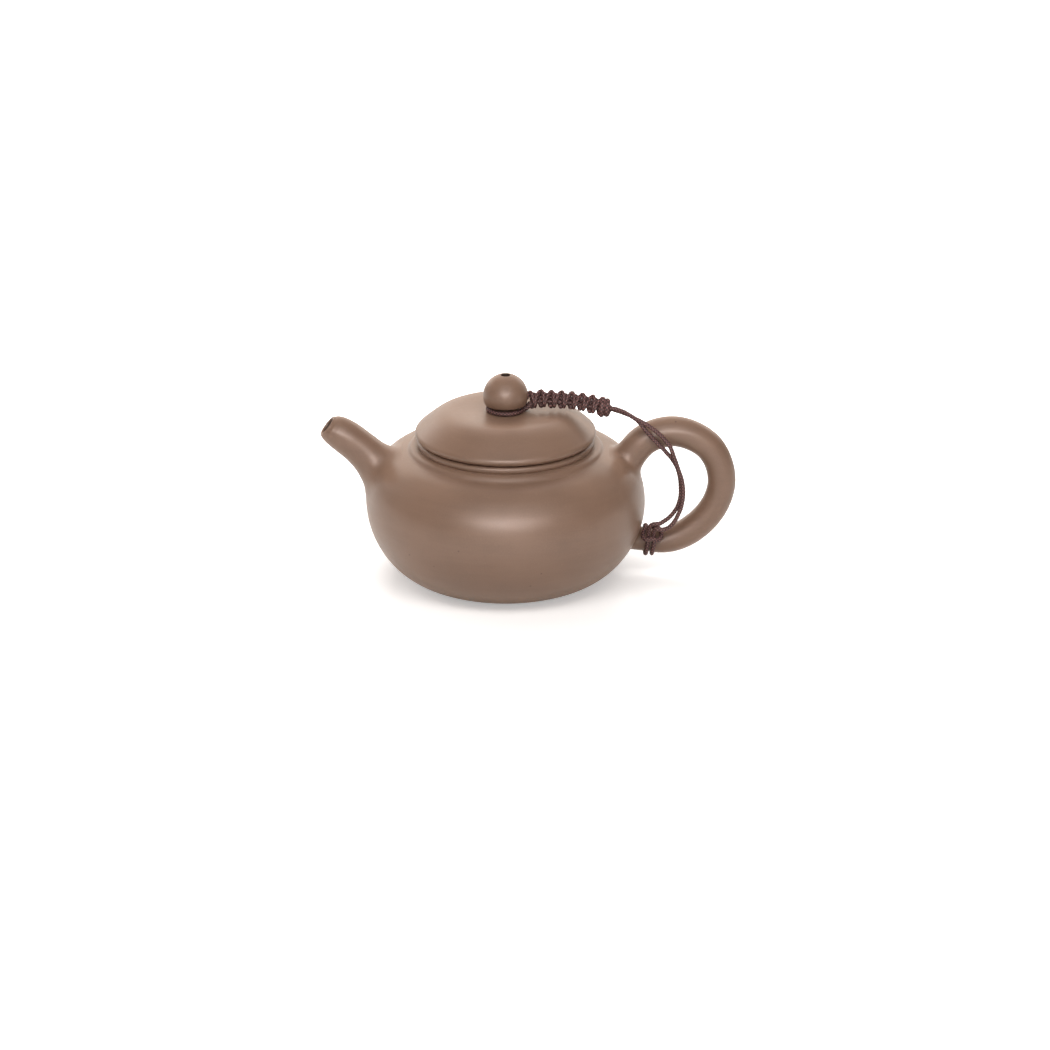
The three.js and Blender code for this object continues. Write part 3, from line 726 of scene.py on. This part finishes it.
def surfacing(outside):
    """For each column, the row, with a fraction, at which it first comes out of the pot."""
    column = np.arange(outside.shape[1])
    row = np.maximum((outside > 0).argmax(0), 1)
    under, over = outside[row - 1, column], outside[row, column]
    return row - 1 + np.clip(under / np.minimum(under - over, -1e-9), 0, 1)


def skirt(edge, reach, outline):
    """Rings that run on over the pot from a root's edge, straight out from its middle along the surface."""
    here = outside_distance(edge, outline)
    slope = np.stack([outside_distance(edge + h, outline) - here for h in np.eye(3) * 0.05], -1)
    slope /= np.maximum(np.linalg.norm(slope, axis=1, keepdims=True), 1e-9)
    radial = edge - edge.mean(0)
    outward = radial - slope * (radial * slope).sum(1, keepdims=True)
    outward /= np.linalg.norm(outward, axis=1, keepdims=True)
    return edge + outward * np.linspace(0, reach * SKIRT_REACH, SKIRT_RINGS)[1:, None, None]


def rooted_rings(line, girth, roots, melts):
    """Rings round a line in the middle plane whose ends spread onto the pot, with a rounded crease.

    A point is line + r (cos a n + sin a y), where n is the line's normal in that plane. At a root each column
    starts where it comes out of the pot, a skirt runs on over the pot, and all near it settle on the smooth
    minimum of the distances to pot and tube.
    """
    outline = body_outline(60)
    n, sides = len(line), ROLLED_SIDES
    along = tangents(line)
    across = np.stack([along[:, 2], 0 * along[:, 0], -along[:, 0]], -1)
    angle = np.linspace(0, 2 * np.pi, sides, endpoint=False)[None, :, None]
    spoke = np.cos(angle) * across[:, None] + np.sin(angle) * np.eye(3)[1]
    grid = line[:, None] + girth[:, None, None] * spoke
    outside = outside_distance(grid.reshape(-1, 3), outline).reshape(n, sides)
    start = surfacing(outside) if roots[0] else np.zeros(sides)
    end = n - 1 - surfacing(outside[::-1]) if roots[1] else np.full(sides, n - 1.0)
    crowding, rows = (0.12 if all(roots) else 0.07), 150
    ease = np.linspace(0, 1, rows)
    ease -= crowding * np.sin(2 * np.pi * ease)
    row = start + (end - start) * ease[:, None]
    low = np.clip(np.floor(row).astype(int), 0, n - 2)
    share = (row - low)[..., None]
    column = np.arange(sides)[None]
    parts = [grid[low, column] * (1 - share) + grid[low + 1, column] * share]
    if roots[0]:
        parts.insert(0, skirt(parts[0][0], melts[0], outline)[::-1])
    if roots[1]:
        parts.append(skirt(parts[-1][-1], melts[1], outline))
    full = np.vstack(parts)

    def field(points):
        first = np.linalg.norm(points - line[0], axis=1) < np.linalg.norm(points - line[-1], axis=1)
        tube = tube_distance(points, line[::2], girth[::2])
        return melt(outside_distance(points, outline), tube, np.where(first, melts[0], melts[1]))

    flat = full.reshape(-1, 3)
    beyond = 1.3
    near = outside_distance(flat, outline) < max(melts) * beyond
    flat[near] = settle(flat[near], field)
    under = np.clip((HIDE_START - np.hypot(flat[:, 0], flat[:, 1])) / HIDE_RUN, 0, 1)
    flat[:, 2] -= HIDE_DEPTH * (under * (flat[:, 2] > HIDE_HEIGHT))
    full = flat.reshape(full.shape)
    for at, rooted in zip((0, -1), roots):
        if rooted:
            outward = full[at] * np.array([1, 1, 0])
            full[at] -= outward / np.linalg.norm(outward, axis=1, keepdims=True) * TUCK
    return full


class TEAPOT_OT_handle(bpy.types.Operator):
    """Rolls the handle and lutes both its ends to the pot"""

    bl_idname = "teapot.handle"
    bl_label = "Handle"

    def execute(self, context):
        radius = context.scene.teapot_clay.handle_radius
        steps, last = 240, len(HANDLE_GIRTH) - 1
        line = upright(through(HANDLE_WAY, steps))
        girth = radius * np.interp(np.linspace(0, last, steps), range(last + 1), HANDLE_GIRTH)
        rings = rooted_rings(line, girth, (True, True), HANDLE_MELTS)
        build("handle_loop", rings, "pot", ["handle"])
        return {"FINISHED"}


class TEAPOT_OT_spout(bpy.types.Operator):
    """Forms the spout, its slanted lip and its bore"""

    bl_idname = "teapot.spout"
    bl_label = "Spout"

    def execute(self, context):
        radius = context.scene.teapot_clay.spout_radius
        steps, inside_steps = 200, 60
        curve = bezier(SPOUT_CURVE, steps)
        back = (curve[1] - curve[0]) / np.linalg.norm(curve[1] - curve[0])
        inside = curve[0] - back * np.linspace(SPOUT_INSIDE, 0.1, inside_steps)[:, None]
        line = upright(np.vstack([inside, curve]))
        inside_share = np.linspace(SPOUT_GIRTH[0][0], -0.005, inside_steps)
        share = np.concatenate([inside_share, np.linspace(0, 1, steps)])
        girth = radius * np.interp(share, *np.array(SPOUT_GIRTH).T)
        rings = rooted_rings(line, girth, (True, False), SPOUT_MELTS)
        cut = np.array([-np.cos(SPOUT_CUT), 0, np.sin(SPOUT_CUT)])
        turn = np.clip(np.linspace(-1.2, 1, len(rings)), 0, 1)[:, None] ** 2
        plane = (rings - rings.mean(1, keepdims=True)) @ cut
        rings = rings - cut * (plane * turn)[..., None]
        lip = rings[-1]
        spoke = lip - lip.mean(0)
        spoke /= np.linalg.norm(spoke, axis=1, keepdims=True)
        half = np.linspace(0, np.pi, 9)[1:, None, None]
        edge = lip + SPOUT_LIP * (cut * np.sin(half) - spoke * (1 - np.cos(half)))
        depth = np.linspace(1, BORE_GIRTH[0][0], 46)
        middle = np.stack([np.interp(depth, share, line[:, k]) for k in range(3)], -1)
        size = np.interp(depth, *np.array(BORE_GIRTH).T)
        bore = middle[:, None] + (edge[-1] - lip.mean(0)) * size[:, None, None]
        rows = np.vstack([rings, edge, bore[1:]])
        # Painted shade for the bore, from the lip's inner side inwards
        stain = bore_painted_shade(len(rows), len(rings) + 6)
        build("spout_tube", rows, "pot", ["spout"], ring=True, values={"stain": stain})
        return {"FINISHED"}


class TEAPOT_OT_lid(bpy.types.Operator):
    """Turns the lid, its locating ring and its ball knob"""

    bl_idname = "teapot.lid"
    bl_label = "Lid"

    def execute(self, context):
        clay = context.scene.teapot_clay
        top = through(LID_WAY, 130)
        under = offset(top, -LID_WALL)[::-1]
        under = under[(under[:, 0] < HOLLOW_OUTER) & (under[:, 0] > HOLLOW_INNER)]
        profile = np.vstack([top, [(VENT, VENT_END)], under, [(RING_INNER, COLLAR_TOP)]])
        build("lid_dome", turned(profile, clay.sides), "lid", ["lid_plate"], ring=True)
        section = [
            (RING_INNER, COLLAR_TOP), (RING_INNER, RING_BOTTOM),
            (RING_OUTER, RING_BOTTOM), (RING_OUTER, COLLAR_TOP),
        ]
        ring = soften(section, [0, 0.5, 0.7, 0])
        build("lid_locating_ring", turned(ring, clay.sides), "lid", ["lid_flange"], ring=True)
        r, bevel = clay.knob_radius, 0.35
        arc = np.linspace(-np.arcsin(KNOB_DROP / r), np.arccos((VENT + bevel) / r), 70)
        ball = np.stack([r * np.cos(arc), KNOB_CENTRE + r * np.sin(arc)], -1)
        foot = soften([*NECK_CORNERS, tuple(ball[0])], [0, 0.5, 0.5, 0.4, 0.4, 0.35, 0])
        vent = soften([tuple(ball[-1]), (VENT, ball[-1, 1] - 0.05), (VENT, KNOB_FOOT)], [0, 0.25, 0])
        profile = np.vstack([foot[:-1], ball[:-1], vent])
        # Painted shade for the vent, from just inside its rim
        stain = bore_painted_shade(len(profile), len(profile) - len(vent) + 2)
        build("lid_ball_knob", turned(profile, 160), "lid", ["lid_knob"], ring=True, values={"stain": stain})
        return {"FINISHED"}


class TEAPOT_OT_cord(bpy.types.Operator):
    """Ties the cord: a loop in the knob's neck, a flat braid, two strands and a hitch on the handle"""

    bl_idname = "teapot.cord"
    bl_label = "Cord"

    def execute(self, context):
        self.cord = context.scene.teapot_cord
        braid = self.braid()
        loop = self.strand("neck_cord_loop", self.loop_way(), "tether", ["cord_neck_loop"])[0]
        hitch = self.strand("handle_cord_hitch", self.hitch_way(), "pot", ["cord_hitch"], start=(1, 0, 0))[0]
        for name, way, node in (
            ("cord_strand_near", FRONT_WAY, "cord_strand_front"),
            ("cord_strand_far", REAR_WAY, "cord_strand_rear"),
        ):
            piece, line = self.strand(name, way, None, [node])
            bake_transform(piece)
            tuple(line[0] * 0.001)
            (line[::8] * 0.001).tolist()
        return {"FINISHED"}

    def strand(self, name, way, body, nodes, start=(0, 1, 0)):
        """One length of cord through a route's points: its object, and the line of its middle."""
        line = through(way, cord_steps(way))
        grid, values, line = plait(line, self.cord.radius, self.cord.threads, start=start)
        return build(name, grid, body, nodes, "cord", values=values), line

    def loop_way(self):
        """Points (r cos a, r sin a, height) round the knob's neck, with both ends led up to the braid."""
        turn = np.linspace(LOOP_EXIT, 2 * np.pi - LOOP_EXIT, 40)
        loop = np.stack([LOOP_RADIUS * np.cos(turn), LOOP_RADIUS * np.sin(turn), LOOP_HEIGHT + 0 * turn], -1)
        end = np.array(LOOP_END)
        return np.vstack([end[::-1], loop, end * (1, -1, 1)])

    def hitch_way(self):
        """Points (x, -r cos a, height + r sin a) of the cow hitch.

        Each leg goes down the handle's front, under, up behind and over the top, and the bight between the
        two lies across the front of both.
        """
        x, degrees, r = np.array(HITCH_TURNS, float).T
        a = np.radians(degrees)
        return np.stack([x, -r * np.cos(a), HITCH_HEIGHT + r * np.sin(a)], -1)

    def braid(self):
        """Square knots round a core of two strands.

        With s in half knots and p their pitch, one cord zigzags across the front. It stands 2 cos(pi s) above
        the middle and lies p (s + 0.19 sin(pi s)) + 0.28 cos(pi s) along, so that its runs stand in pairs,
        with a gap under each top turn, and lean. The other passes behind the core, then shows as a short loop
        on each edge. Two wraps make the last knot and round it off.
        """
        middle = through(BRAID_WAY, 400)
        _, up, side = carried_frames(middle, (0, 0, 1))
        side = -side if side[0, 1] > 0 else side
        lean = np.radians(24)
        front = side * np.cos(lean) + up * np.sin(lean)
        rise = up * np.cos(lean) - side * np.sin(lean)
        run = np.linspace(0, length_of(middle), len(middle))
        half_knots = 2 * self.cord.knots - 4
        wraps_from, wraps_length = run[-1] - 3.3, 3.2
        pitch = wraps_from / half_knots
        first, last = -0.45, half_knots + 0.8
        s = np.linspace(first, last, half_knots * 32)
        wave, swing = np.cos(np.pi * s), np.sin(np.pi * s)
        grow = 1 + 0.06 * np.clip(s - half_knots + 3.5, 0, 1)

        def carry(along, height, depth):
            core, tall, fore = (np.stack([np.interp(along, run, field[:, k]) for k in range(3)], -1)
                                for field in (middle, rise, front))
            core = core + (middle[1] - middle[0]) / run[1] * np.minimum(along, 0)[:, None]
            away = tall * height[:, None] + fore * depth[:, None]
            return core + away, away

        lead = pitch * s + 0.28 * wave + 0.1
        near_line = carry(lead + 0.19 * pitch * swing, (2.0 * wave + 0.25) * grow,
                          (1.5 * np.abs(swing) ** 0.7 - 0.2) * grow)
        edge = 0.35 - 0.5 * wave
        far_line = carry(lead - 0.12 * pitch * swing, (-1.75 * wave - 0.25) * grow,
                         (edge * wave**2 - 1.45 * swing**2) * grow)
        core = np.linspace(0, run[-1], 120)
        t = np.linspace(0, 1, 90)
        wind = 4 * np.pi * t - 0.9
        bulge = np.sqrt(np.clip(1 - (np.clip(t - 0.45, 0, 1) / 0.62) ** 2, 0.1, 1))
        half_height, half_depth = 2.4 * bulge, 1.85 * bulge
        wrap_run = wraps_from + wraps_length * t
        end_wrap = carry(wrap_run, half_height * np.cos(wind), half_depth * np.sin(wind))
        lines = [(near_line, (1.28, 0.9)), (far_line, (1.15, 1.05)), (end_wrap, (1.15, 1.25))]
        lines += [(carry(core, lift + 0 * core, 0 * core), (1.0, 1.0)) for lift in (0.66, -0.66)]
        parts = []
        for k, ((line, away), oval) in enumerate(lines):
            grid, values, _ = plait(line, self.cord.radius, self.cord.threads, sides=24, out=away, oval=oval)
            parts.append(build(f"braid_cord_{k}", grid, None, (), "cord", values=values))
        with bpy.context.temp_override(active_object=parts[0], selected_editable_objects=parts):
            bpy.ops.object.join()
        piece = parts[0]
        piece.name = "knotted_braid"
        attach(piece, "tether")
        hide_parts("cord_braid")
        return piece


class TEAPOT_PT_panel(bpy.types.Panel):
    """Shows every value and a button for each operator"""

    bl_idname = "TEAPOT_PT_panel"
    bl_label = "Teapot"
    bl_space_type = "VIEW_3D"
    bl_region_type = "UI"
    bl_category = "Teapot"

    def draw(self, context):
        for group in (context.scene.teapot_clay, context.scene.teapot_cord, context.scene.teapot_studio):
            for key in group.__annotations__:
                self.layout.prop(group, key)
        for operator in OPERATORS:
            self.layout.operator(operator.bl_idname)


GROUPS = {"teapot_clay": TeapotClay, "teapot_cord": TeapotCord, "teapot_studio": TeapotStudio}
OPERATORS = (
    TEAPOT_OT_studio, TEAPOT_OT_materials, TEAPOT_OT_cord, TEAPOT_OT_body, TEAPOT_OT_spout, TEAPOT_OT_handle,
    TEAPOT_OT_lid,
)


def register():
    """Adds the values, the operators and the panel to Blender."""
    for cls in (*GROUPS.values(), *OPERATORS, TEAPOT_PT_panel):
        bpy.utils.register_class(cls)
    for key, group in GROUPS.items():
        setattr(bpy.types.Scene, key, PointerProperty(type=group))


def unregister():
    """Takes them out again."""
    for key in GROUPS:
        delattr(bpy.types.Scene, key)
    for cls in reversed((*GROUPS.values(), *OPERATORS, TEAPOT_PT_panel)):
        bpy.utils.unregister_class(cls)


def main():
    """Runs every operator in turn."""
    register()
    for operator in OPERATORS:
        getattr(bpy.ops.teapot, operator.bl_idname.split(".")[1])()


if __name__ == "__main__":
    main()
